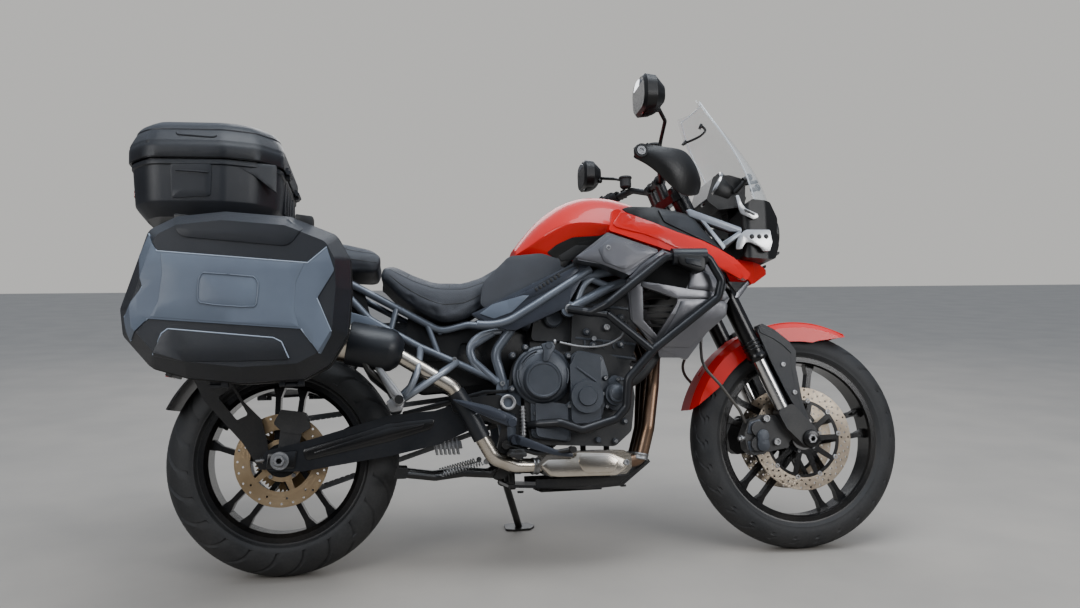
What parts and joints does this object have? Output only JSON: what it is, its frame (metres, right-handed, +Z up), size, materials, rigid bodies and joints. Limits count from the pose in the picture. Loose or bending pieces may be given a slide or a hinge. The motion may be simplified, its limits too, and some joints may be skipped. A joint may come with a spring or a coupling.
{
  "type": "adventure motorcycle",
  "caption": "Adventure touring motorcycle with crash bars, spoked cast wheels, side cases and a top case, leaning on its side stand.",
  "frame": {"origin": "on the ground under the middle of the parked machine's bounding box", "axes": "+X forward towards the front wheel, +Y to the rider's left, +Z up; the machine leans 12 degrees towards +Y on its side stand"},
  "size_m": [2.249, 1.1012, 1.3872],
  "materials": {
    "gloss_red": "gloss orange-red paint",
    "red_plastic": "gloss orange-red moulding",
    "grey_panel": "titanium-grey metallic paint",
    "frame_grey": "steel-grey satin paint",
    "dark_bars": "dark gunmetal satin paint",
    "black_metal": "satin black",
    "engine_black": "satin black casting paint",
    "cover_grey": "dark grey satin covers",
    "fork_black": "satin black anodising",
    "bright_steel": "hard chrome",
    "silver_cast": "silver cast light alloy",
    "disc_steel": "ground stainless steel",
    "tan_steel": "heat-tinted stainless steel",
    "header_steel": "heat-tinted stainless steel",
    "polished_steel": "polished stainless steel",
    "tyre_rubber": "black rubber",
    "rubber_black": "matt black rubber",
    "seat_vinyl": "dark grey grained vinyl",
    "black_plastic": "grained black moulding",
    "case_plastic": "charcoal textured moulding",
    "screen_clear": "clear polycarbonate",
    "lamp_clear": "clear lens over a dark reflector",
    "hose_grey": "braided steel brake hose"
  },
  "bodies": {
    "chassis": {"main_frame": "frame_grey", "swingarm": "black_metal", "shock_absorber": "black_metal", "chain_drive": "silver_cast", "engine_block": "engine_black", "clutch_cover": "cover_grey", "engine_covers": "cover_grey", "radiator": "black_metal", "fuel_tank": "gloss_red", "front_panels": "red_plastic", "radiator_cowls": "grey_panel", "side_trims": "grey_panel", "cockpit_stay": "black_plastic", "headlight": "lamp_clear", "windscreen": "screen_clear", "rider_seat": "seat_vinyl", "pillion_seat": "seat_vinyl", "rear_subframe": "frame_grey", "battery_box": "black_plastic", "tail_fairing": "black_plastic", "exhaust_headers": "header_steel", "collector_and_link": "polished_steel", "silencer": "polished_steel", "luggage_rack": "black_metal", "right_case_body": "case_plastic", "left_case_body": "case_plastic", "top_case_base": "case_plastic", "rear_mudguard": "black_plastic", "rear_caliper": "black_metal", "crash_bars": "dark_bars", "skid_plate": "black_metal", "footrests": "black_metal", "stand_brackets": "black_metal"},
    "front_wheel": {"front_tyre": "tyre_rubber", "front_rim": "black_metal", "front_disc_carriers": "black_metal", "front_discs": "disc_steel"},
    "rear_wheel": {"rear_tyre": "tyre_rubber", "rear_rim": "black_metal", "rear_disc": "tan_steel", "rear_sprocket": "black_metal"},
    "front_fork": {"fork_legs": "fork_black", "fork_stanchions": "bright_steel", "axle_clamps": "engine_black", "handlebar": "black_metal", "hand_controls": "rubber_black", "mirrors": "black_plastic", "handguards": "black_plastic", "front_fender": "red_plastic", "fork_guards": "black_plastic", "front_calipers": "black_metal", "brake_hoses": "hose_grey"},
    "right_lid": {"right_case_lid": "case_plastic"},
    "left_lid": {"left_case_lid": "case_plastic"},
    "top_lid": {"top_case_lid": "case_plastic"},
    "side_stand_leg": {"side_stand": "black_metal"},
    "centre_stand_legs": {"centre_stand": "black_metal"}
  },
  "joints": [
    {"name": "steering", "type": "hinge", "parent": "chassis", "child": "front_fork", "pos_m": [0.74779, -0.11639, 0.30505], "axis": [-0.4051, 0.1901, 0.8943], "range_deg": [-33, 33]},
    {"name": "front_wheel_spin", "type": "hinge", "parent": "front_fork", "child": "front_wheel", "pos_m": [0.7935, -0.11217, 0.32486], "axis": [0, 0.9781, -0.2079], "continuous": true},
    {"name": "rear_wheel_spin", "type": "hinge", "parent": "chassis", "child": "rear_wheel", "pos_m": [-0.7365, -0.11414, 0.31562], "axis": [0, 0.9781, -0.2079], "continuous": true},
    {"name": "side_stand_fold", "type": "hinge", "parent": "chassis", "child": "side_stand_leg", "pos_m": [-0.0965, 0.01623, 0.20748], "axis": [0.1437, 0.8076, 0.572], "range_deg": [0, 100]},
    {"name": "centre_stand_fold", "type": "hinge", "parent": "chassis", "child": "centre_stand_legs", "pos_m": [-0.1405, -0.12675, 0.25627], "axis": [0, -0.9781, 0.2079], "range_deg": [0, 92]},
    {"name": "right_lid_hinge", "type": "hinge", "parent": "chassis", "child": "right_lid", "pos_m": [-0.7665, -0.46366, 0.58552], "axis": [1, 0, 0], "range_deg": [0, 85]},
    {"name": "left_lid_hinge", "type": "hinge", "parent": "chassis", "child": "left_lid", "pos_m": [-0.7665, 0.31494, 0.42002], "axis": [-1, 0, 0], "range_deg": [0, 85]},
    {"name": "top_lid_hinge", "type": "hinge", "parent": "chassis", "child": "top_lid", "pos_m": [-0.7145, 0.05205, 1.09748], "axis": [0, 0.9781, -0.2079], "range_deg": [0, 80]}
  ]
}
